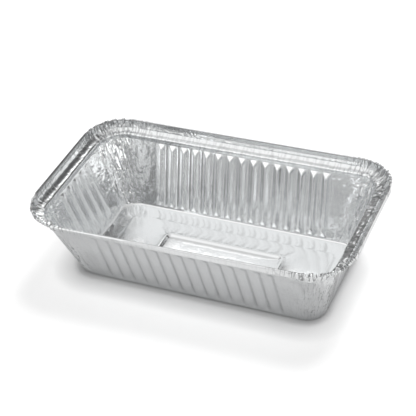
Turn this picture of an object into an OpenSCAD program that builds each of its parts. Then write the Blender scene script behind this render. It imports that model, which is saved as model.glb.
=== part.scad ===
// A pressed foil food container: an oblong tray with sloping fluted walls,
// a stepped rim and a flange whose straight edges are hemmed to the outside.
// It is one pressed sheet, so it is one solid made by following one section
// around the tray: under the floor, up the outside, over the rim and back
// down the inside. Lengths are in millimetres and angles in degrees.

/* [Body] */
// overall length over the hems
rim_length = 203; // [196:1:215]
// overall width over the hems, before the front flange leans out
rim_width = 113.5; // [108:0.5:122]
// overall height of the straight sides
height = 53.6; // [45:0.2:62]
// length of the floor between the feet of the end walls
floor_length = 160; // [152:1:168]
// width of the floor between the feet of the long walls
floor_width = 72.7; // [66:0.1:78]
// plan radius of the rim corners, over the flange
rim_radius = 24.5; // [20:0.5:30]
// plan radius of the wall corners at the floor
foot_radius = 11.8; // [8:0.2:16]
// height of the small bend between floor and wall
foot_bend = 0.8; // [0.6:0.1:1.5]
// thickness of the modelled sheet
sheet = 0.35; // [0.3:0.05:0.4]

/* [Rim] */
// height of the flange above the crease at the back of the ledge
flange_height = 5.7; // [4.5:0.1:7.5]
// how far the flange leans outwards from the crease to its top
flange_lean = 0.7; // [0.3:0.1:2]
// width of the ledge that a lid lies on
ledge_width = 5.3; // [4:0.1:7]
// how far the ledge drops towards the inside
ledge_drop = 1.9; // [1:0.1:3]
// height of the short step between ledge and wall
lip_height = 2.9; // [2:0.1:4]
// thickness of the folded hem on the straight edges
hem_thickness = 1.25; // [0.8:0.05:1.6]
// depth that the hem is folded down
hem_depth = 3.4; // [2.4:0.1:4]
// thickness of the gathered flange edge in the corners
edge_thickness = 0.5; // [0.45:0.05:0.7]

/* [Flutes] */
// number of flutes in each long wall
flutes_long = 15; // [9:1:15]
// number of flutes in each end wall
flutes_short = 5; // [3:1:5]
// distance from one flute to the next
flute_pitch = 7.97; // [7:0.01:8.3]
// width of a flute at its foot lines
flute_width = 5.4; // [4:0.1:6.2]
// width of the flat crest of a flute
crest_width = 0.9; // [0.5:0.1:1.6]
// how far a flute stands into the tray
flute_depth = 1.1; // [0.6:0.1:1.6]
// length of the sloping facet that ends a flute
flute_end = 3.8; // [2.5:0.1:6]
// plain wall left above the flutes
flute_top_gap = 0.6; // [0.4:0.1:3]
// plain wall left below the flutes, from the floor
flute_foot_gap = 1.6; // [1.6:0.1:4]

/* [Floor] */
// width of the flat band around the floor that the tray rests on
band_width = 10.3; // [8:0.1:12]
// width of the slope from the band up to the panel
step_run = 1.6; // [1:0.1:2.5]
// height of the panel above the band
panel_rise = 0.6; // [0.4:0.1:1]
// plan radius of the panel corners
panel_radius = 4; // [3:0.5:7]
// length of the raised bead ring on the panel
bead_length = 84; // [70:1:100]
// width of the raised bead ring on the panel
bead_width = 30; // [26:0.5:34]
// plan radius of the outside of the bead ring
bead_radius = 6.5; // [6:0.5:9]
// width of the bead
bead_band = 5; // [4:0.1:5.5]
// height of the bead above the panel
bead_height = 1.1; // [0.6:0.1:1.6]

/* [Gathers] */
// pleats pressed into each corner of the flange
pleats = 12; // [8:1:14]
// how far the pleats stand in and out at the flange top
pleat_depth = 0.5; // [0.2:0.05:0.9]
// how far the flange top rises and falls over the pleats
pleat_lift = 0.25; // [0.1:0.05:0.8]
// how far the ledge is puckered in the corners
pucker = 0.3; // [0:0.05:0.5]
// how far the creases of the corner walls stand in and out
crumple = 0.5; // [0:0.05:0.6]

/* [Bends] */
// how far the top of the right end wall is pushed in
end_push = 3.7; // [0:0.1:5]
// how far the crease of the right end is pushed in
crease_push = 2.9; // [0:0.1:4]
// how far the front flange leans out at its left end
front_lean_left = 2.4; // [0:0.1:3]
// how far the front flange leans in at its right end
front_lean_right = 1; // [0:0.1:1.5]

/* [Hidden] */
// Two sides of a pleat make one in-and-out wave.
corner_steps = 2 * pleats;
floor_steps = 5;
wall_tiers = 4;
hem_crest = hem_thickness / 2;
crest_round = hem_thickness * 0.28;
stations = 4 * (corner_steps + 1);
floor_stations = 4 * (floor_steps + 1);
side_x = [1, -1, -1, 1];
side_y = [1, 1, -1, -1];

crease_z = height - flange_height;
ledge_z = crease_z - ledge_drop;
wall_z = ledge_z - lip_height;
crease_in = flange_lean + hem_thickness;
ledge_in = crease_in + ledge_width;
hem_z = height - hem_depth;
foot_tuck = foot_bend;
flute_low = flute_foot_gap;
flute_high = wall_z - flute_top_gap;
crest_low = flute_low + flute_end;
crest_high = flute_high - flute_end;

// Fixed irregular values between -1 and 1, so that every build is the same.
function uneven(n) = sin(n * 137.5 + 40 * sin(n * 61));

// One point of a ring with half sizes hx and hy and corner radius r.
function ring_point(hx, hy, r, z, q, angle) =
  [side_x[q] * (hx - r) + r * cos(angle), side_y[q] * (hy - r) + r * sin(angle), z];

// Angle of step k of a corner that has n steps.
function turn(q, k, n) = 90 * q + 90 * k / n;

// How fully a corner step belongs to the corner: nothing where it meets a straight side.
function deep(k) = min(1, min(k, corner_steps - k) / 3);

// Share of a push at the right end that a direction takes.
function right_share(angle) = pow(max(0, cos(angle)), 2);

// Share of a lean at the front that a direction takes.
function front_share(angle) = pow(max(0, -sin(angle)), 2);

// Pleats alternate in and out, no two of them alike and some of them nearly flat.
function wave(q, k) = deep(k) * ((k % 2 == 0 ? 0.45 : -0.45) + 0.55 * uneven(25 * q + k));

// Rings of the rim: inset from the hem, height, share of the end push,
// share of the front lean, pleat movement across and pleat movement up.
function rim_point(spec, q, k) =
  let (angle = turn(q, k, corner_steps))
  let (out = [cos(angle), sin(angle), 0])
  let (base = ring_point(rim_length / 2 - spec[0], rim_width / 2 - spec[0],
                         rim_radius - spec[0], spec[1], q, angle))
  let (lean = q == 2 ? -front_lean_left : front_lean_right)
  base
  + [-spec[2] * right_share(angle), spec[3] * lean * front_share(angle), 0]
  + out * spec[4] * wave(q, k)
  + [0, 0, spec[5] * wave(q, k + 1) * deep(k)];

function rim_ring(spec) =
  [for (q = [0:3], k = [0:corner_steps]) rim_point(spec, q, k)];

// The wall is straight from the floor to the lip at every station.
function foot_point(q, k) =
  ring_point(floor_length / 2, floor_width / 2, foot_radius, 0, q, turn(q, k, corner_steps));

function lip_point(q, k) = rim_point([ledge_in, wall_z, end_push, 0, 0, 0], q, k);

// Creases of the corner walls: long ones from lip to foot, crossed by short ones.
// They fade towards the straight walls.
function crease(q, k, tier) =
  tier < 1 || tier > wall_tiers ? 0
  : crumple * deep(k) * (0.6 * uneven(7 * k + 3 * q) + 0.5 * uneven(5 * k + 31 * tier + 3 * q));

// A point on the wall: skin is 0 outside and 1 inside.
function wall_point(q, k, z, skin, tier) =
  let (low = foot_point(q, k), high = lip_point(q, k))
  let (angle = turn(q, k, corner_steps))
  let (slant = norm(high - low) / wall_z)
  low + (high - low) * z / wall_z
  + [cos(angle), sin(angle), 0] * (crease(q, k, tier) - skin * sheet * slant);

function wall_ring(z, skin, tier) =
  [for (q = [0:3], k = [0:corner_steps]) wall_point(q, k, z, skin, tier)];

function tier_z(tier) = foot_bend + (wall_z - foot_bend) * tier / (wall_tiers + 1);

// Rings of the floor: distance in from the foot of the wall, height and corner radius.
function floor_ring(inset, z, r) =
  [for (q = [0:3], k = [0:floor_steps])
    ring_point(floor_length / 2 - inset, floor_width / 2 - inset, r, z, q, turn(q, k, floor_steps))];

function bead_ring(inset, z) =
  [for (q = [0:3], k = [0:floor_steps])
    ring_point(bead_length / 2 - inset, bead_width / 2 - inset, bead_radius - inset, z,
               q, turn(q, k, floor_steps))];

function foot_ring(inset, z) =
  [for (q = [0:3], k = [0:corner_steps])
    ring_point(floor_length / 2 - inset, floor_width / 2 - inset, foot_radius - inset, z,
               q, turn(q, k, corner_steps))];

// The corners of the flutes in side q: four points low and four points high for each.
function flutes(q) = q % 2 == 0 ? flutes_long : flutes_short;

function flute_points(q, skin) =
  let (r = (q + 1) % 4)
  let (a0 = wall_point(q, corner_steps, 0, skin, 0), b0 = wall_point(r, 0, 0, skin, 0))
  let (a1 = wall_point(q, corner_steps, wall_z, skin, 0), b1 = wall_point(r, 0, wall_z, skin, 0))
  let (along = (b0 - a0) / norm(b0 - a0))
  let (low = (a0 + b0) / 2, rise = (a1 + b1 - a0 - b0) / 2 / wall_z)
  let (inward = cross(rise, along) / norm(rise))
  let (half = flute_width / 2, crest = crest_width / 2)
  [for (i = [0:flutes(q) - 1], end = [0, 1])
    let (s = (i - (flutes(q) - 1) / 2) * flute_pitch)
    let (zb = end == 0 ? flute_low : flute_high, zc = end == 0 ? crest_low : crest_high)
    each [low + rise * zb + along * (s - half),
          low + rise * zc + along * (s - crest) + inward * flute_depth,
          low + rise * zc + along * (s + crest) + inward * flute_depth,
          low + rise * zb + along * (s + half)]];

// Sections of the rim from the wall up, over the top and back down inside.
rim_outside = [
  [crease_in + ledge_width, ledge_z, end_push, 0, pucker, pucker],
  [crease_in, crease_z, crease_push, 0.1, pleat_depth / 3, pucker],
  [hem_thickness + 0.3 * flange_lean, hem_z, crease_push * 0.3, 0.5, pleat_depth * 0.8, 0]];

// The hem is full on the straights and closes to the plain edge in the corners.
function hem_share(k) = max(0, 1 - min(k, corner_steps - k) / 1.5);

function hem_point(q, k, back, z, lean) =
  let (share = hem_share(k))
  let (thick = edge_thickness + (hem_thickness - edge_thickness) * share)
  rim_point([hem_thickness - thick * (1 - back), z + 0.3 * (1 - share) * (height - z) / hem_depth,
             0, lean, pleat_depth, pleat_lift], q, k);

function hem_ring(back, z, lean) =
  [for (q = [0:3], k = [0:corner_steps]) hem_point(q, k, back, z, lean)];

// Inside of the rim: the same sheet, one thickness further in and up.
rim_inside = [
  [hem_thickness + sheet, height - crest_round, 0, 1, pleat_depth, pleat_lift],
  [crease_in + sheet * 0.8, crease_z + sheet * 1.05, crease_push, 0.1, pleat_depth / 3, pucker],
  [crease_in + ledge_width + sheet * 0.7, ledge_z + sheet * 0.8, end_push, 0, pucker, pucker]];

// The closed list of rings, in order from under the floor to on the floor.
panel_in = band_width + step_run;

floor_under = [
  bead_ring(bead_band, panel_rise),
  bead_ring(bead_band * 0.68, panel_rise + bead_height),
  bead_ring(bead_band * 0.32, panel_rise + bead_height),
  bead_ring(0, panel_rise),
  floor_ring(panel_in, panel_rise, panel_radius),
  floor_ring(band_width, 0, panel_radius + step_run)];

floor_over = [
  floor_ring(band_width + sheet * 0.2, sheet, panel_radius + step_run),
  floor_ring(panel_in + sheet * 0.2, panel_rise + sheet, panel_radius),
  bead_ring(-sheet * 0.3, panel_rise + sheet),
  bead_ring(bead_band * 0.32 - sheet * 0.3, panel_rise + bead_height + sheet),
  bead_ring(bead_band * 0.68 + sheet * 0.3, panel_rise + bead_height + sheet),
  bead_ring(bead_band + sheet * 0.3, panel_rise + sheet)];

wall_outside = [
  foot_ring(foot_tuck, 0),
  wall_ring(foot_bend, 0, 0),
  for (t = [1:wall_tiers]) wall_ring(tier_z(t), 0, t),
  wall_ring(wall_z, 0, 0)];

rim_rings = [
  for (s = rim_outside) rim_ring(s),
  hem_ring(0, hem_z, 0.6),
  hem_ring(0, height - crest_round, 1),
  hem_ring(hem_crest, height, 1),
  for (s = rim_inside) rim_ring(s)];

wall_inside = [
  wall_ring(wall_z, 1, 0),
  for (t = [wall_tiers:-1:1]) wall_ring(tier_z(t), 1, t),
  wall_ring(foot_bend + sheet * 0.6, 1, 0),
  foot_ring(foot_tuck + sheet, sheet)];

fine_rings = concat(wall_outside, rim_rings, wall_inside);
fine_start = len(floor_under) * floor_stations;
over_start = fine_start + len(fine_rings) * stations;
flute_start = over_start + len(floor_over) * floor_stations;
flute_block = 8 * (2 * flutes_long + 2 * flutes_short);

shell_points = [
  for (r = floor_under) each r,
  for (r = fine_rings) each r,
  for (r = floor_over) each r,
  for (skin = [0, 1], q = [0:3]) each flute_points(q, skin)];

// Numbers of points: of a floor ring, of a fine ring and of a flute corner.
function coarse(start, ring, q, k) = start + ring * floor_stations + (q % 4) * (floor_steps + 1) + k;
function fine(ring, q, k) = fine_start + ring * stations + (q % 4) * (corner_steps + 1) + k;
function flute_first(q) = 8 * (q > 0 ? flutes_long : 0) + 8 * (q > 1 ? flutes_short : 0)
                        + 8 * (q > 2 ? flutes_long : 0);
function flute(skin, q, i, n) = flute_start + skin * flute_block + flute_first(q) + 8 * i + n;

// A face seen from its other side starts at the same point, and a list is read backwards.
function turned(face) = [face[0], for (i = [len(face) - 1:-1:1]) face[i]];
function backwards(list) = [for (i = [len(list) - 1:-1:0]) list[i]];

// Faces between two rings that have the same number of points.
function coarse_strip(start, ring) =
  [for (q = [0:3], k = [0:floor_steps])
    let (r = k < floor_steps ? q : q + 1, j = k < floor_steps ? k + 1 : 0)
    each [[coarse(start, ring + 1, q, k), coarse(start, ring + 1, r, j), coarse(start, ring, r, j)],
          [coarse(start, ring + 1, q, k), coarse(start, ring, r, j), coarse(start, ring, q, k)]]];

function fine_pair(ring, q, k, r, j) =
  [[fine(ring + 1, q, k), fine(ring + 1, r, j), fine(ring, r, j)],
   [fine(ring + 1, q, k), fine(ring, r, j), fine(ring, q, k)]];

function fine_strip(ring) =
  [for (q = [0:3], k = [0:corner_steps])
    each fine_pair(ring, q, k, k < corner_steps ? q : q + 1, k < corner_steps ? k + 1 : 0)];

function corner_strip(ring) =
  [for (q = [0:3], k = [0:corner_steps - 1]) each fine_pair(ring, q, k, q, k + 1)];

// Flat faces between a floor ring and a fine ring.
function near_step(k) = floor(k * floor_steps / corner_steps + 0.5);

function band_faces(ring, start, level) =
  [for (q = [0:3])
    each concat(
      [for (k = [0:corner_steps - 1])
        [fine(ring, q, k), fine(ring, q, k + 1), coarse(start, level, q, near_step(k))]],
      [for (k = [0:corner_steps - 1])
        if (near_step(k + 1) > near_step(k))
          [fine(ring, q, k + 1), coarse(start, level, q, near_step(k + 1)),
           coarse(start, level, q, near_step(k))]],
      [[fine(ring, q, corner_steps), fine(ring, q + 1, 0),
        coarse(start, level, q + 1, 0), coarse(start, level, q, floor_steps)]])];

// Faces of one straight wall seen from outside; rings lists its rings from foot to lip.
function wall_faces(skin, q, rings) =
  let (last = flutes(q) - 1, top = rings[len(rings) - 1], foot = rings[0])
  let (mids = [for (i = [1:len(rings) - 2]) rings[i]])
  concat(
    [concat([fine(top, q, corner_steps), fine(top, q + 1, 0)],
            [for (i = [last:-1:0]) each [flute(skin, q, i, 7), flute(skin, q, i, 4)]])],
    [concat([fine(foot, q, corner_steps)],
            [for (i = [0:last]) each [flute(skin, q, i, 0), flute(skin, q, i, 3)]],
            [fine(foot, q + 1, 0)])],
    [concat([flute(skin, q, 0, 4), flute(skin, q, 0, 0), fine(foot, q, corner_steps)],
            [for (m = mids) fine(m, q, corner_steps)],
            [fine(top, q, corner_steps)])],
    [concat([flute(skin, q, last, 7), fine(top, q + 1, 0)],
            [for (m = backwards(mids)) fine(m, q + 1, 0)],
            [fine(foot, q + 1, 0), flute(skin, q, last, 3)])],
    [for (i = [0:last - 1])
      [flute(skin, q, i, 7), flute(skin, q, i + 1, 4), flute(skin, q, i + 1, 0), flute(skin, q, i, 3)]],
    [for (i = [0:last])
      each [[flute(skin, q, i, 4), flute(skin, q, i, 7), flute(skin, q, i, 6), flute(skin, q, i, 5)],
            [flute(skin, q, i, 4), flute(skin, q, i, 5), flute(skin, q, i, 1), flute(skin, q, i, 0)],
            [flute(skin, q, i, 5), flute(skin, q, i, 6), flute(skin, q, i, 2), flute(skin, q, i, 1)],
            [flute(skin, q, i, 6), flute(skin, q, i, 7), flute(skin, q, i, 3), flute(skin, q, i, 2)],
            [flute(skin, q, i, 1), flute(skin, q, i, 2), flute(skin, q, i, 3), flute(skin, q, i, 0)]]]);

wall_first = 1;
wall_last = wall_tiers + 2;
inside_first = len(wall_outside) + len(rim_rings);
inside_last = inside_first + wall_tiers + 1;

shell_faces = concat(
  [[for (i = [0:floor_stations - 1]) i]],
  [for (ring = [0:len(floor_under) - 2]) each coarse_strip(0, ring)],
  band_faces(0, 0, len(floor_under) - 1),
  fine_strip(0),
  [for (ring = [wall_first:wall_last - 1]) each corner_strip(ring)],
  [for (q = [0:3]) each wall_faces(0, q, [for (ring = [wall_first:wall_last]) ring])],
  [for (ring = [wall_last:inside_first - 1]) each fine_strip(ring)],
  [for (ring = [inside_first:inside_last - 1]) each corner_strip(ring)],
  [for (q = [0:3], f = wall_faces(1, q, [for (ring = [inside_last:-1:inside_first]) ring])) turned(f)],
  fine_strip(inside_last),
  [for (f = band_faces(inside_last + 1, over_start, 0)) turned(f)],
  [for (ring = [0:len(floor_over) - 2]) each coarse_strip(over_start, ring)],
  [[for (i = [floor_stations - 1:-1:0]) over_start + (len(floor_over) - 1) * floor_stations + i]]);

// The bends move the outline, so the shell is put back over the middle of the floor.
reach = [for (axis = [0, 1]) let (v = [for (p = shell_points) p[axis]]) [min(v), max(v)]];
middle = [for (r = reach) (r[0] + r[1]) / 2];

module container() {
  color([0.80, 0.80, 0.81])
  translate([-middle[0], -middle[1], 0])
  polyhedron(points = shell_points, faces = shell_faces, convexity = 10);
}

container();
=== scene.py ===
# %% [markdown]
# # A pressed foil food container
# The object is one sheet of aluminium foil, pressed into an oblong tray. Its
# look comes from the folds of that sheet: fluted walls, gathered corners, a
# stepped rim and a hem folded over on the straight edges. The CAD model gives
# the shape and the size. This script lays a finer sheet in the same place,
# presses it the same way and gives it the finish of rolled foil.

import math

import bpy
import numpy as np
from mathutils import Matrix, Vector, noise


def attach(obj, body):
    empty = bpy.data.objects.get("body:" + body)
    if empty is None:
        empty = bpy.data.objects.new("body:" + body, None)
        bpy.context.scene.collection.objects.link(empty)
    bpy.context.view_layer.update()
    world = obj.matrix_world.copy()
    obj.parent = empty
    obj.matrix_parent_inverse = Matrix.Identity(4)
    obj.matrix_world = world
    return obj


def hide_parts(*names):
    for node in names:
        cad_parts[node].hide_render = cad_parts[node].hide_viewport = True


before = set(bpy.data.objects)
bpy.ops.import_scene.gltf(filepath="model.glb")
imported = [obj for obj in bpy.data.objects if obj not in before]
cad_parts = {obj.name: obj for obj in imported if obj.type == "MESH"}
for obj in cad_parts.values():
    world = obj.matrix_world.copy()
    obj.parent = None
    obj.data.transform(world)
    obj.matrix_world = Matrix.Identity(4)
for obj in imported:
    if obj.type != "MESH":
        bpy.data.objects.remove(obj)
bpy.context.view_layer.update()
MM = 0.001

# %% [markdown]
# ## The sizes of the tray
# Everything is worked out in millimetres from a few real sizes, the same ones
# that the solid part was made from. A ring is an outline of the tray at one
# height: half length, half width and corner radius. IN is how far a line of the
# rim lies inside its outline, and Z is its height. The last bends are those of
# use: the top of the right end is pushed in, and the front flange leans out at
# its left end and a little in at its right end.

# %% The driving sizes in millimetres
RIM = (101.5, 56.75, 24.5)
FOOT = (80.0, 36.35, 11.8)
TOP_Z = 53.6
HEM_DEEP = 3.4
CREASE_IN, CREASE_Z = 1.95, 47.9
LEDGE_IN, LEDGE_Z = 7.25, 46.0
LIP_Z = 43.1
END_PUSH, CREASE_PUSH = 3.7, 2.9
LEAN_LEFT, LEAN_RIGHT = 2.4, 1.0
MIDDLE_Y = -LEAN_LEFT / 2
PITCH, FLUTE_W, FLUTE_D, FLUTE_END = 7.97, 5.4, 1.1, 3.8
FLUTE_LOW, FLUTE_HIGH = 1.6, LIP_Z - 0.6
FLUTES = (15, 5, 15, 5)
BAND, PANEL_RISE = 10.3, 0.6
BEAD = (42.0, 15.0, 6.5)
BEAD_BAND, BEAD_H = 5.0, 1.1
SHEET = 0.2
print("rim", 2 * RIM[0], "x", 2 * RIM[1], "mm, foot", 2 * FOOT[0], "x", 2 * FOOT[1],
      "mm, height", TOP_Z, "mm")

# %% [markdown]
# ## The columns of the sheet
# The sheet is a grid whose columns run from the middle of the floor, up the
# wall and over the rim. They are close together where the foil is folded:
# across each flute and around each corner. A subdivided plane would need far
# more points to be as fine there. The sides are numbered 0 back, 1 left,
# 2 front and 3 right, and each corner comes just before the side of its number.

# %% Columns around the tray
CORNER_COLUMNS = 54
ACROSS = (-1.0, -0.86, -0.5, -0.16, 0.0, 0.16, 0.5, 0.86)


def foot_half(q):
    """Half the length of the straight part of side q, at the foot."""
    return (FOOT[0] if q % 2 == 0 else FOOT[1]) - FOOT[2]


def fluted_half(q):
    """Half the length of the part of side q that has flutes."""
    return (FLUTES[q] - 1) / 2 * PITCH + FLUTE_W / 2


def side_columns(q):
    """Places along one straight side, in millimetres from its middle."""
    half, edge, n = foot_half(q), fluted_half(q), FLUTES[q]
    plain = 12 if q % 2 == 0 else 8
    places = [-half + (half - edge) * i / plain for i in range(plain)]
    for i in range(n):
        mid = (i - (n - 1) / 2) * PITCH
        places += [mid + across * FLUTE_W / 2 for across in ACROSS] + [mid + FLUTE_W / 2]
    places += [edge + (half - edge) * (i + 1) / plain for i in range(plain)]
    return [(q, "side", s) for s in places]


columns = []
for q in range(4):
    columns += [(q, "corner", i / CORNER_COLUMNS) for i in range(CORNER_COLUMNS)]
    columns += side_columns(q)
print("columns", len(columns))

# %% [markdown]
# ## The rows of the sheet
# Each row is one ring. The floor comes first, with its bead ring and raised
# panel, then the walls, then the rim. The rim starts with a short upright lip,
# goes over a ledge for the lid, with a small ridge and a groove pressed in it,
# and up a flange to the hem. A row says how much of the rim's bends, pleats and
# wrinkles it takes. The rows are close together where the sheet turns, because
# a mirror shows every turn as a bright or a dark line.

# %% Rows from the middle of the floor to the edge of the hem
rows = []


def row(hx, hy, r, z, push=0.0, lean=0.0, pleat=0.0, pucker=0.0, wall=None, hem=None,
        right_lift=0.0, fold=False):
    rows.append(dict(ring=(hx, hy, r), z=z, push=push, lean=lean, pleat=pleat, pucker=pucker,
                     wall=wall, hem=hem, right_lift=right_lift, fold=fold))


def inset(ring, d, z, **more):
    row(ring[0] - d, ring[1] - d, max(ring[2] - d, 0.6), z, **more)


# The middle of the floor, the bead ring, the panel and its step down to the band.
for share in (0.12, 0.55):
    row(share * 37, 2 + share * 7, 1.0, PANEL_RISE)
for d in (5.0, 4.3, 3.6, 3.0, 2.5, 2.0, 1.4, 0.7, 0.0):
    lift = 0.5 - 0.5 * math.cos(2 * math.pi * min(d, BEAD_BAND - d) / BEAD_BAND)
    inset(BEAD, d, PANEL_RISE + BEAD_H * lift ** 0.8)
row(52, 19.5, 6.0, PANEL_RISE)
row(62, 22.5, 5.0, PANEL_RISE)
for d, z in ((2.1, 1.0), (1.5, 0.94), (1.0, 0.65), (0.5, 0.22), (-0.1, 0.0)):
    row(FOOT[0] - BAND - d, FOOT[1] - BAND - d, 5.6 - d, PANEL_RISE * z)
for d in (7.0, 3.6, 1.3):
    inset(FOOT, d, 0.0)

# The bend at the foot, and the wall.
FOOT_BEND = 1.5
for turn in (0.0, 0.25, 0.5, 0.75):
    angle = turn * math.pi / 2
    inset(FOOT, 1.1 - FOOT_BEND * math.sin(angle) * 0.95, FOOT_BEND * (1 - math.cos(angle)))
wall_heights = [1.6, 2.5, 3.5, 4.5, 5.4, 8, 11, 14.5, 18, 21.5, 25, 28.5, 32, 35,
                37, 38.7, 39.7, 40.7, 41.6, 42.5, 43.1]
for z in wall_heights:
    row(0, 0, 0, z, wall=z / LIP_Z)

# The lip, the ledge with its ridge and groove, and the flange.
for d, z in ((7.35, 43.7), (7.35, 44.6), (7.3, 45.3), (7.12, 45.75)):
    inset(RIM, d, z, push=END_PUSH, pucker=0.8)
for d, z, pucker in ((6.7, 46.05, 1.0), (6.1, 46.12, 1.0), (5.2, 46.2, 1.0), (4.3, 46.55, 1.0),
                     (3.6, 47.1, 0.9), (3.15, 47.55, 0.8), (2.85, 47.75, 0.7), (2.6, 47.5, 0.6),
                     (2.45, 47.4, 0.6), (2.34, 47.75, 0.6)):
    straight = LEDGE_Z + (CREASE_Z - LEDGE_Z) * (LEDGE_IN - d) / (LEDGE_IN - CREASE_IN)
    inset(RIM, d, z, push=CREASE_PUSH + (END_PUSH - CREASE_PUSH) * (d - 2) / 5.3, pucker=pucker,
          pleat=0.4 - 0.05 * d, right_lift=straight - z if d > 3.5 else 0.0)
for d, z in ((2.28, 48.2), (2.05, 48.8), (1.7, 49.8), (1.42, 50.8), (1.36, 52.2)):
    share = (z - 47.9) / 5.3
    inset(RIM, d, z, push=CREASE_PUSH * (1 - share) * 0.9, lean=share, pleat=0.4 + 0.6 * share)

# The crest, where the hem folds over, and the hem on the outside.
for d, z in ((1.25, 52.9), (1.1, 53.2), (0.78, 53.36), (0.45, 53.28), (0.26, 52.95)):
    inset(RIM, d, z, lean=1.0, pleat=1.0, hem=0.0, fold=z == 52.9)
for share in (0.35, 0.7, 1.0):
    inset(RIM, SHEET, 52.95 - (HEM_DEEP - 0.45) * share, lean=1.0 - 0.45 * share,
          pleat=1.0 - 0.2 * share, hem=share)
print("rows", len(rows))

# %% [markdown]
# ## Where the press puts each point
# The walls are straight from the floor to the lip, so a point on a wall lies
# between two rings. The flutes stand inwards from it, and end in a small
# sloping facet at each end. In a corner the blank is too long for the turn, so
# the press gathers it: the wall gets long, sharp creases, the flange gets
# pleats, and both fade out along the straight sides. The creases are noise with
# sharp ridges, stretched along the way that the foil was drawn.

# %% Helpers that place one point
SIDE_X, SIDE_Y = (1, -1, -1, 1), (1, 1, -1, -1)
START = (0.0, 90.0, 180.0, 270.0)
WRINKLES_FADE = 22.0


def ring_place(ring, q, kind, at):
    """A point of a ring, and the way that is outwards there."""
    hx, hy, r = ring
    if kind == "corner":
        a = math.radians(START[q] + 90.0 * at)
        out = Vector((math.cos(a), math.sin(a)))
        return Vector((SIDE_X[q] * (hx - r), SIDE_Y[q] * (hy - r))) + r * out, out
    out = Vector(((0, 1), (-1, 0), (0, -1), (1, 0))[q])
    along = Vector((-out.y, out.x))
    half = (hx if q % 2 == 0 else hy) - r
    foot, edge = foot_half(q), fluted_half(q)
    if half < foot - 0.01:
        s = at * half / foot
    elif abs(at) > edge:
        s = math.copysign(edge + (abs(at) - edge) / (foot - edge) * (half - edge), at)
    else:
        s = at
    return out * (hy if q % 2 == 0 else hx) + along * s, out


def flute_depth(q, at, z):
    """How far the wall stands inwards at this place."""
    n = FLUTES[q]
    i = max(0, min(n - 1, round(at / PITCH + (n - 1) / 2)))
    off = abs(at - (i - (n - 1) / 2) * PITCH) / (FLUTE_W / 2)
    ridge = 1.0 - off
    if off < 0.16:
        ridge = 0.90 - 0.5 * (off - 0.16) ** 2
    ramp = min(z - FLUTE_LOW, FLUTE_HIGH - z) / FLUTE_END
    return FLUTE_D * max(0.0, min(ridge, ramp))


def corner_share(kind, at):
    """How fully a column belongs to the corner."""
    if kind != "corner":
        return 0.0
    return min(1.0, min(at, 1.0 - at) / 0.1)


def wrinkle_share(q, kind, at):
    """Full in the corners, fading along the straight sides."""
    if kind == "corner":
        return 1.0
    return max(0.0, 1.0 - (foot_half(q) - abs(at)) / WRINKLES_FADE) ** 1.5


def fold_place(q, kind, at):
    """Which corner a place belongs to, and how far round it the place is."""
    if kind == "corner":
        return q, at * 30
    half = foot_half(q)
    return (q, 30 + (half + at) / 0.9) if at < 0 else ((q + 1) % 4, (at - half) / 0.9)


def wall_crumple(q, kind, at):
    """How much the wall is crumpled: from the corner up to the first flute."""
    if kind == "corner":
        return 1.0
    edge = fluted_half(q)
    fade = 3.0 if fold_place(q, kind, at)[0] == 0 else 0.8
    return max(0.0, (abs(at) - edge) / (foot_half(q) - edge)) ** fade


def uneven(*xyz):
    """Smooth noise."""
    return noise.noise(Vector(xyz))


def folded(*xyz):
    """Noise with sharp ridges, as thin foil folds."""
    return 0.35 - abs(noise.noise(Vector(xyz)))


print("a flute stands", flute_depth(0, 0.0, LIP_Z / 2), "mm inwards")

# %% The press
CRUMPLE, CRUMPLE_FULL_Z = 1.3, 9.0
PLEAT_OUT, PLEAT_UP = 0.7, 0.35
PUCKER_UP, PUCKER_OUT, SAG_UP = 0.95, 0.5, 0.12
BARE_EDGE_IN, BARE_EDGE_UP = 0.45, 0.72


def wall_ring(share):
    """The wall's ring at a share of the height from the foot to the lip."""
    top = tuple(v - LEDGE_IN for v in RIM)
    return tuple(low + (high - low) * share for low, high in zip(FOOT, top))


def front_lean(p, q, kind, out):
    """How far the front flange leans out or in at this place."""
    front = max(0.0, -out.y) ** 2
    if q == 2 and kind == "side":
        return -LEAN_LEFT + (LEAN_LEFT + LEAN_RIGHT) * (p.x + 77.0) / 154.0
    return {2: -LEAN_LEFT, 3: LEAN_RIGHT}.get(q, 0.0) * front


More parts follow.
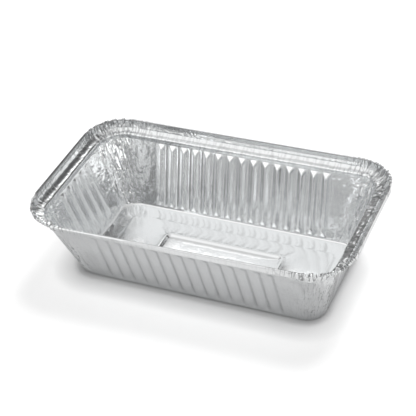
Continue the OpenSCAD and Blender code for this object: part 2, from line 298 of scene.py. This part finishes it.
def press(column, r):
    """Where the press puts the point of a column and a row, in metres."""
    q, kind, at = column
    deep = corner_share(kind, at)
    on_wall = r["wall"] is not None
    p, out = ring_place(wall_ring(r["wall"]) if on_wall else r["ring"], q, kind, at)
    right = max(0.0, out.x) ** 2
    z = r["z"] + r["right_lift"] * right
    push = END_PUSH * r["wall"] if on_wall else r["push"]
    p = p + Vector((-push * right, 0))
    p = p + Vector((0, r["lean"] * front_lean(p, q, kind, out)))
    if on_wall and kind == "side":
        run = RIM[1 - q % 2] - LEDGE_IN - FOOT[1 - q % 2] - (END_PUSH if q == 3 else 0)
        slope = run / LIP_Z
        d = flute_depth(q, at, z) / math.hypot(1, slope)
        p = p - out * d
        z += d * slope
    if on_wall:
        corner, u = fold_place(q, kind, at)
        fold = 1.1 * folded(u * 0.40 + z * 0.10, z * 0.05, corner * 3.1)
        fold += 0.8 * folded(u * 0.75 - z * 0.10, z * 0.07, 4 + corner * 2.3)
        crumple = CRUMPLE * wall_crumple(q, kind, at) * min(1.0, z / CRUMPLE_FULL_Z)
        p = p + out * crumple * (fold - 0.3)
    arc = at * 20.0 + q * 3.7 if kind == "corner" else q * 9.3 + at * 0.55
    pleats = math.sin(2 * math.pi * (arc + 0.5 * uneven(arc * 0.6, q, 9.0)))
    wave = 1.5 * uneven(arc * 0.6, q, 2.0) + 0.7 * pleats
    p = p + out * deep * r["pleat"] * PLEAT_OUT * wave
    z += deep * r["pleat"] * PLEAT_UP * uneven(arc * 0.8, 3.0, q)
    if r["pucker"]:
        level = r["ring"][0]
        small = (0.35 + 0.65 * wrinkle_share(q, kind, at)) * r["pucker"]
        z += small * PUCKER_UP * folded(arc * 1.5, level * 0.35, 7.0 + q)
        z += r["pucker"] * SAG_UP * uneven(p.x * 0.11, p.y * 0.11, 5.0)
        p = p + out * small * PUCKER_OUT * uneven(arc * 1.2, level * 0.3, 17.0 + q)
    if r["hem"] is not None and kind == "corner":
        bare = min(1.0, min(at, 1 - at) * CORNER_COLUMNS / 2.0)
        p = p - out * BARE_EDGE_IN * bare
        z += (HEM_DEEP - BARE_EDGE_IN) * r["hem"] * bare * BARE_EDGE_UP
    return (p.x * MM, (p.y - MIDDLE_Y) * MM, z * MM)


back_crest = press((0, "side", 0.0), rows[-6])
print("the crest of the back rim goes to", [round(v, 4) for v in back_crest])

# %% [markdown]
# ## Laying and pressing the sheet
# A flat grid stands for the blank of foil, and each of its points is moved to
# where the press puts it. Pressing in code was chosen over extruding ring by
# ring, because hundreds of fold lines have to meet exactly in the gathered
# corners.

# %% Lay the blank and press it
bpy.ops.object.select_all(action="DESELECT")
around_cells, up_cells = len(columns), len(rows) - 1
bpy.ops.mesh.primitive_grid_add(x_subdivisions=around_cells, y_subdivisions=up_cells, size=2)
foil = bpy.context.object
foil.name = "foil_tray"
flat = np.zeros(len(foil.data.vertices) * 3)
foil.data.vertices.foreach_get("co", flat)
flat = flat.reshape(-1, 3)
col_of = np.rint((flat[:, 0] + 1) / 2 * around_cells).astype(int) % around_cells
row_of = np.rint((flat[:, 1] + 1) / 2 * up_cells).astype(int)
pressed = np.array([press(columns[c], rows[r]) for c, r in zip(col_of, row_of)])
foil.data.vertices.foreach_set("co", pressed.ravel())
foil.data.update()
print("pressed", len(pressed), "points")

# %% [markdown]
# ## What the foil remembers
# The finish needs to know where the foil was gathered, where it was pleated and
# where it is folded shut. Each is a number stored on the points of the mesh. The
# place on the sheet is stored too, wrapped round in a circle so that it meets
# itself at the join, and squeezed along the way up, so that noise read from it
# is long and thin like a pleat.

# %% Store the gathers, the pleats, the fold and the place on the sheet
rim_first = next(i for i, r in enumerate(rows) if r["pucker"])
flange_first = next(i for i, r in enumerate(rows) if r["lean"])
foot_first = next(i for i, r in enumerate(rows) if r["wall"] is not None)


def gathered(c, r):
    """How crinkled the foil is: most in the corners and on the rim."""
    share = wrinkle_share(*columns[c])
    if r < foot_first:
        return 0.2 * share
    return max(share, 0.75) if r >= rim_first else share


def pleated(c, r):
    """How strongly the pleat lines are bumped in and painted dark as shade: on the flange's
    corners, faint elsewhere.
    """
    share = wrinkle_share(*columns[c]) ** 2
    if r < foot_first:
        return 0.0
    if r < rim_first:
        return 0.10 * share
    if r < flange_first:
        return 0.12 + 0.25 * share
    return 0.08 + 0.62 * share


def distances(points):
    """How far along a line each of its points lies, in mm, and the line's length."""
    steps = [0.0] + [math.dist(a, b) / MM for a, b in zip(points, points[1:])]
    return np.cumsum(steps), sum(steps)


def tag(name, kind, field, values):
    made = foil.data.attributes.new(name, kind, "POINT")
    made.data.foreach_set(field, np.array(values, dtype=np.float32).ravel())


around, whole = distances([press(c, rows[rim_first]) for c in columns + columns[:1]])
climb, height = distances([press(columns[CORNER_COLUMNS + 6], r) for r in rows])
# The second number is how far the hem's fold line is painted towards the dark shade colour.
CLIMB_SHARE, HEM_FOLD_SHADE = 0.15, 0.8
turn = around[col_of] / whole * 2 * math.pi
radius = whole / (2 * math.pi)
tag("gather", "FLOAT", "value", [gathered(c, r) for c, r in zip(col_of, row_of)])
# The pleats and the fold also mark where the finish paints dark shade into the base colour.
tag("pleats", "FLOAT", "value", [pleated(c, r) for c, r in zip(col_of, row_of)])
tag("fold", "FLOAT", "value", [HEM_FOLD_SHADE if rows[r]["fold"] else 0.0 for r in row_of])
tag("sheet_place", "FLOAT_VECTOR", "vector",
    np.stack([radius * np.cos(turn), radius * np.sin(turn), CLIMB_SHARE * climb[row_of]], axis=1))
print("rim", round(whole), "mm around, sheet", round(height), "mm from the middle to the edge")

# %% [markdown]
# ## One closed sheet
# The two ends of the strip are joined, and the hole that is left in the middle
# of the floor is closed with one face. A Solidify modifier then gives the foil
# its thickness. That is simpler than pressing an inner and an outer side, and
# the two sides can't cross. The foil is smooth over its gentle bends and sharp
# over its creases, so the shading is smooth only under an angle.

# %% Join the strip, close the floor and give the foil its thickness
bpy.ops.object.select_all(action="DESELECT")
foil.select_set(True)
bpy.context.view_layer.objects.active = foil
bpy.ops.object.mode_set(mode="EDIT")
bpy.ops.mesh.select_all(action="SELECT")
bpy.ops.mesh.remove_doubles(threshold=1e-6)
bpy.ops.mesh.select_all(action="DESELECT")
bpy.ops.object.mode_set(mode="OBJECT")
hole_x, hole_y, _ = rows[0]["ring"]
for v in foil.data.vertices:
    v.select = (abs(v.co.x) < (hole_x + 0.05) * MM
                and abs(v.co.y + MIDDLE_Y * MM) < (hole_y + 0.05) * MM)
bpy.ops.object.mode_set(mode="EDIT")
bpy.ops.mesh.select_mode(type="VERT")
bpy.ops.mesh.edge_face_add()
bpy.ops.mesh.select_all(action="SELECT")
bpy.ops.mesh.normals_make_consistent(inside=False)
bpy.ops.object.mode_set(mode="OBJECT")
mid_floor = min(foil.data.polygons, key=lambda f: (f.center.xy.length, f.center.z))
if mid_floor.normal.z > 0:
    foil.data.flip_normals()
sheet = foil.modifiers.new("sheet", "SOLIDIFY")
sheet.thickness = SHEET * MM
sheet.offset = -1
sheet.use_even_offset = False
bpy.ops.object.modifier_apply(modifier=sheet.name)
bpy.ops.object.shade_smooth_by_angle(angle=math.radians(38))
print("foil faces", len(foil.data.polygons), "vertices", len(foil.data.vertices))

# %% [markdown]
# ## The finish of the foil
# Foil is bare metal: its colour is what it mirrors. Rolling leaves faint lines
# that blur the mirror image, and pressing leaves small dents and, in the
# corners, sharp crinkles. The lines and the dents are a bump on the surface,
# and a little change of roughness keeps the shine from being even. A pleat that
# is pressed shut holds no light, so its line is painted dark as shade in the
# base colour, and so is the line where the hem folds over. The pleat lines
# follow the sheet's own place, which the press stored on the mesh, so they run
# up the flange at every turn.

# %% Bare metal, and helpers that add one node
foil_finish = bpy.data.materials.new("rolled_foil")
foil_finish.use_nodes = True
metal = foil_finish.node_tree
shader = metal.nodes["Principled BSDF"]
shader.inputs["Metallic"].default_value = 1.0


def noise_node(tree, place, scale, detail):
    made = tree.nodes.new("ShaderNodeTexNoise")
    made.inputs["Scale"].default_value = scale
    made.inputs["Detail"].default_value = detail
    tree.links.new(place, made.inputs["Vector"])
    return made


def stored(tree, name):
    made = tree.nodes.new("ShaderNodeAttribute")
    made.attribute_name = name
    return made


def worked(tree, how, one, other):
    """A Math node on two values, each a socket or a number."""
    made = tree.nodes.new("ShaderNodeMath")
    made.operation = how
    for slot, value in zip(made.inputs, (one, other)):
        if isinstance(value, float):
            slot.default_value = value
        else:
            tree.links.new(value, slot)
    return made.outputs["Value"]


def bump(tree, source, strength, distance, under=None):
    made = tree.nodes.new("ShaderNodeBump")
    made.inputs["Strength"].default_value = strength
    made.inputs["Distance"].default_value = distance
    tree.links.new(source, made.inputs["Height"])
    if under:
        tree.links.new(under, made.inputs["Normal"])
    return made.outputs["Normal"]


print("the finish starts with", [node.name for node in metal.nodes])

# %% The rolling lines and the dents
place = metal.nodes.new("ShaderNodeTexCoord")
along_rolling = metal.nodes.new("ShaderNodeMapping")
along_rolling.inputs["Scale"].default_value = (800, 800, 60)
metal.links.new(place.outputs["Object"], along_rolling.inputs["Vector"])
grain = noise_node(metal, along_rolling.outputs["Vector"], 1.0, 4)
dents = noise_node(metal, place.outputs["Object"], 110, 3)
rough = metal.nodes.new("ShaderNodeMapRange")
rough.inputs["To Min"].default_value = 0.09
rough.inputs["To Max"].default_value = 0.18
metal.links.new(dents.outputs["Fac"], rough.inputs["Value"])
metal.links.new(rough.outputs["Result"], shader.inputs["Roughness"])
print("roughness from", rough.inputs["To Min"].default_value,
      "to", rough.inputs["To Max"].default_value)

# %% Crinkles where the foil is gathered, and painted dark shade on the lines where it is shut
crinkle = noise_node(metal, place.outputs["Object"], 340, 3)
crinkle.noise_type = "RIDGED_MULTIFRACTAL"
crinkled = worked(metal, "MULTIPLY", crinkle.outputs["Fac"],
                  stored(metal, "gather").outputs["Fac"])
pleat_noise = noise_node(metal, stored(metal, "sheet_place").outputs["Vector"], 0.42, 2)
pleat_line = metal.nodes.new("ShaderNodeValToRGB")
stops = pleat_line.color_ramp.elements
stops[0].color = stops[-1].color = (0, 0, 0, 1)
for spot, value in ((0.44, 0.0), (0.49, 1.0), (0.51, 1.0), (0.56, 0.0)):
    stops.new(spot).color = (value, value, value, 1)
metal.links.new(pleat_noise.outputs["Fac"], pleat_line.inputs["Fac"])
# Painted shade: the pleat lines and the hem's fold line darken the base colour; the pleat lines
# are also a bump.
creased = worked(metal, "MULTIPLY", pleat_line.outputs["Color"],
                 stored(metal, "pleats").outputs["Fac"])
painted_crease_shade = worked(metal, "MAXIMUM", creased, stored(metal, "fold").outputs["Fac"])
# The ramp runs from the foil's own colour to the dark painted shade of the creases.
foil_colour_and_shade = metal.nodes.new("ShaderNodeValToRGB")
foil_colour_and_shade.color_ramp.elements[0].color = (0.895, 0.905, 0.91, 1)
foil_colour_and_shade.color_ramp.elements[1].color = (0.20, 0.203, 0.206, 1)
metal.links.new(painted_crease_shade, foil_colour_and_shade.inputs["Fac"])
metal.links.new(foil_colour_and_shade.outputs["Color"], shader.inputs["Base Color"])

surface = bump(metal, dents.outputs["Fac"], 0.32, 0.0006)
surface = bump(metal, grain.outputs["Fac"], 0.18, 0.00014, surface)
surface = bump(metal, crinkled, 1.0, 0.00032, surface)
surface = bump(metal, creased, 0.6, -0.0003, surface)
metal.links.new(surface, shader.inputs["Normal"])
foil.data.materials.clear()
foil.data.materials.append(foil_finish)
print("nodes in the finish", len(metal.nodes))

# %% The foil stands for the CAD container
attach(foil, "root")
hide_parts("container")
print("foil_tray rides root and replaces container")

# %% [markdown]
# ## The studio
# The tray stands on a white floor that runs to the horizon, and the floor
# takes its soft shadow from one large lamp above, behind and a little to the
# right. The contact shade at the foot is weaker on that side too. The foil
# mirrors the room, so the room is built like a photographer's light tent: white
# above and in front, darker low down at the back. Each line of the two lists is
# one panel of the tent, bright or dark, in one direction: where it starts and
# where it is full, as cosines, and its light. Real panels around the tray would
# do it too, but a panel that is only a direction can't stand in the camera's
# way. The strong one at the back is what the long wall shows between its flutes,
# and the dark ones give the flutes, the left ledge and the right ledge their
# dark side. The camera itself sees plain white.

# %% Floor
bpy.ops.object.select_all(action="DESELECT")
bpy.ops.mesh.primitive_plane_add(size=6, location=(0, 0, -0.0001))
floor = bpy.context.object
floor.name = "floor"
white = bpy.data.materials.new("white_floor")
white.use_nodes = True
ground = white.node_tree
paint = ground.nodes["Principled BSDF"]
paint.inputs["Base Color"].default_value = (0.8, 0.8, 0.8, 1)
paint.inputs["Roughness"].default_value = 0.9
paint.inputs["Emission Color"].default_value = (1, 1, 1, 1)

# The glow that makes it white, to the camera and in the foil.
GLOW_SEEN, GLOW_MIRRORED = 0.68, 0.33
ray = ground.nodes.new("ShaderNodeLightPath")
glow = worked(ground, "ADD", worked(ground, "MULTIPLY", ray.outputs["Is Camera Ray"], GLOW_SEEN),
              worked(ground, "MULTIPLY", ray.outputs["Is Glossy Ray"], GLOW_MIRRORED))

# The contact shade takes from the glow, least on the open side.
open_side = ground.nodes.new("ShaderNodeCombineXYZ")
for axis, value in zip("XYZ", (0.3, 0.35, 0.87)):
    open_side.inputs[axis].default_value = value
for reach in (0.018, 0.006, 0.004):
    contact = ground.nodes.new("ShaderNodeAmbientOcclusion")
    contact.samples = 8
    contact.inputs["Distance"].default_value = reach
    ground.links.new(open_side.outputs["Vector"], contact.inputs["Normal"])
    glow = worked(ground, "MULTIPLY", glow, contact.outputs["AO"])
ground.links.new(glow, paint.inputs["Emission Strength"])
floor.data.materials.append(white)
print("floor", floor.dimensions.x, "m wide")

# %% World
world = bpy.data.worlds.new("studio")
bpy.context.scene.world = world
world.use_nodes = True
room = world.node_tree
sky = room.nodes["Background"]
sky.inputs["Color"].default_value = (1, 1, 1, 1)
way = room.nodes.new("ShaderNodeTexCoord").outputs["Generated"]


def towards(panel, low, high, dark, bright):
    """Dark away from the panel's direction, bright near it: low and high are cosines."""
    facing = room.nodes.new("ShaderNodeVectorMath")
    facing.operation = "DOT_PRODUCT"
    facing.inputs[1].default_value = Vector(panel).normalized()
    room.links.new(way, facing.inputs[0])
    step = room.nodes.new("ShaderNodeMapRange")
    step.interpolation_type = "SMOOTHSTEP"
    for name, value in (("From Min", low), ("From Max", high), ("To Min", dark),
                        ("To Max", bright)):
        step.inputs[name].default_value = value
    room.links.new(facing.outputs["Value"], step.inputs["Value"])
    return step.outputs["Result"]


def switched(off, on, switch):
    """The value off, or the number on for the rays that the switch names."""
    pick = room.nodes.new("ShaderNodeMapRange")
    pick.inputs["To Max"].default_value = on
    room.links.new(off, pick.inputs["To Min"])
    room.links.new(switch, pick.inputs["Value"])
    return pick.outputs["Result"]


print("the world starts with", [node.name for node in room.nodes])

# %% The panels of the tent
BRIGHT = (
    ((-0.36, -0.32, 0.88), 0.82, 0.97, 0.20),  # above: the floor's band below the back wall
    ((-0.34, 0.90, 0.28), 0.76, 0.97, 1.5),    # at the back: between the back wall's flutes
    ((0.80, -0.60, 0.08), 0.85, 1.0, 1.0),     # low at the front right: the left flange
    ((-0.36, -0.84, 0.38), 0.92, 0.99, 0.45),  # at the front: the facets that end the flutes
    ((0.0, 0.98, 0.21), 0.80, 0.97, 0.12),     # low at the back: the back wall's right part
    ((0.98, 0.0, 0.21), 0.80, 0.97, 0.25),     # low at the right: the back wall's left part
)
DARK = (
    ((0.36, 0.68, 0.62), 0.79, 0.96, 0.32),    # the flutes' right sides, the left ledge
    ((-0.78, 0.58, 0.24), 0.84, 0.95, 0.12),   # the right ledge
)
tent = towards((-0.38, -0.45, 0.80), -0.40, 1.1, 0.21, 0.81)
for panel, low, high, light in BRIGHT:
    tent = worked(room, "ADD", tent, towards(panel, low, high, 0.0, light))
for panel, low, high, light in DARK:
    tent = worked(room, "MULTIPLY", tent, towards(panel, low, high, 1.0, light))
LIGHT_ON_FLOOR, LIGHT_SEEN = 0.12, 1.0
path = room.nodes.new("ShaderNodeLightPath")
strength = switched(tent, LIGHT_ON_FLOOR, path.outputs["Is Diffuse Ray"])
strength = switched(strength, LIGHT_SEEN, path.outputs["Is Camera Ray"])
room.links.new(strength, sky.inputs["Strength"])
print("bright panels", len(BRIGHT), "dark panels", len(DARK))

# %% The lamp
KEY_PLACE, KEY_SIZE, KEY_WATTS = (0.16, 0.52, 1.22), 0.5, 9.7
bpy.ops.object.light_add(type="AREA", location=KEY_PLACE)
key = bpy.context.object
key.name = "back_key"
key.data.shape = "RECTANGLE"
key.data.size = key.data.size_y = KEY_SIZE
key.data.energy = KEY_WATTS
key.rotation_euler = (-Vector(KEY_PLACE)).to_track_quat("-Z", "Y").to_euler()
key.visible_glossy = False
print("lamp", round(key.location.length, 2), "m from the tray")

# %% [markdown]
# ## The camera
# The photograph looks down at the tray from its front right, with the camera
# turned a little about its own axis.

# %% Camera
AZIMUTH, ELEVATION, ROLL = (math.radians(v) for v in (27.11, 37.69, -6.42))
AIM = Vector((5.59, -15.85 - MIDDLE_Y, 53.09)) * MM
AWAY, LENS, SENSOR = 0.7475, 110.93, 36
back = Vector((math.sin(AZIMUTH) * math.cos(ELEVATION),
               -math.cos(AZIMUTH) * math.cos(ELEVATION), math.sin(ELEVATION)))
level = Vector((math.cos(AZIMUTH), math.sin(AZIMUTH), 0))
upright = back.cross(level)
right = level * math.cos(ROLL) + upright * math.sin(ROLL)
up = upright * math.cos(ROLL) - level * math.sin(ROLL)
camera_data = bpy.data.cameras.new("camera")
camera_data.lens, camera_data.sensor_width = LENS, SENSOR
camera = bpy.data.objects.new("camera", camera_data)
bpy.context.scene.collection.objects.link(camera)
eye = AIM + back * AWAY
camera.matrix_world = Matrix((
    (right.x, up.x, back.x, eye.x), (right.y, up.y, back.y, eye.y),
    (right.z, up.z, back.z, eye.z), (0, 0, 0, 1)))
bpy.context.scene.camera = camera
print("camera at", [round(v, 3) for v in eye])

# %% View settings
bpy.context.scene.view_settings.view_transform = "Standard"
